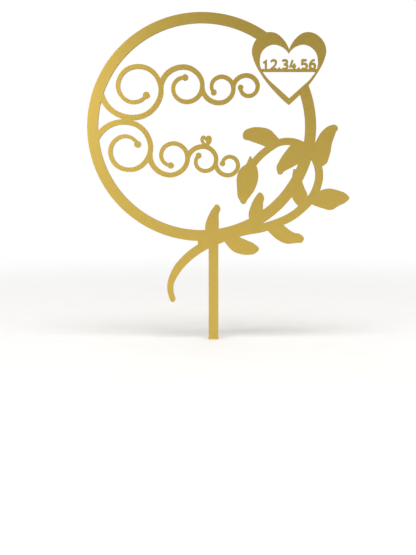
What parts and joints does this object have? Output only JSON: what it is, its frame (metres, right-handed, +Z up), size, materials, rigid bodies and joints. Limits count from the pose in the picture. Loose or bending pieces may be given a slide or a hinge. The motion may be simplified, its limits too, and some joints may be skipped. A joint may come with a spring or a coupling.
{
  "type": "cake topper",
  "caption": "Flat gold acrylic cake topper: a ring with a heart and date bar at its upper right, running scrolls inside it, a hooked leaf branch at its lower right and a stake to push in.",
  "frame": {"origin": "centre of the stake's square lower end", "axes": "+Z up along the stake, the sheet stands in XZ, the front faces -Y, the heart is on the +X side"},
  "size_m": [0.1373, 0.003, 0.1715],
  "materials": {
    "gold_acrylic": "satin gold acrylic sheet, laser-cut edges"
  },
  "bodies": {
    "root": {"ring": "gold_acrylic", "heart_frame": "gold_acrylic", "date_bar": "gold_acrylic", "upper_flourish": "gold_acrylic", "lower_flourish": "gold_acrylic", "small_heart": "gold_acrylic", "vine_stem": "gold_acrylic", "leaf_01": "gold_acrylic", "leaf_02": "gold_acrylic", "leaf_03": "gold_acrylic", "leaf_04": "gold_acrylic", "leaf_05": "gold_acrylic", "leaf_06": "gold_acrylic", "leaf_07": "gold_acrylic", "leaf_08": "gold_acrylic", "leaf_09": "gold_acrylic", "leaf_10": "gold_acrylic", "stake": "gold_acrylic"}
  },
  "joints": []
}
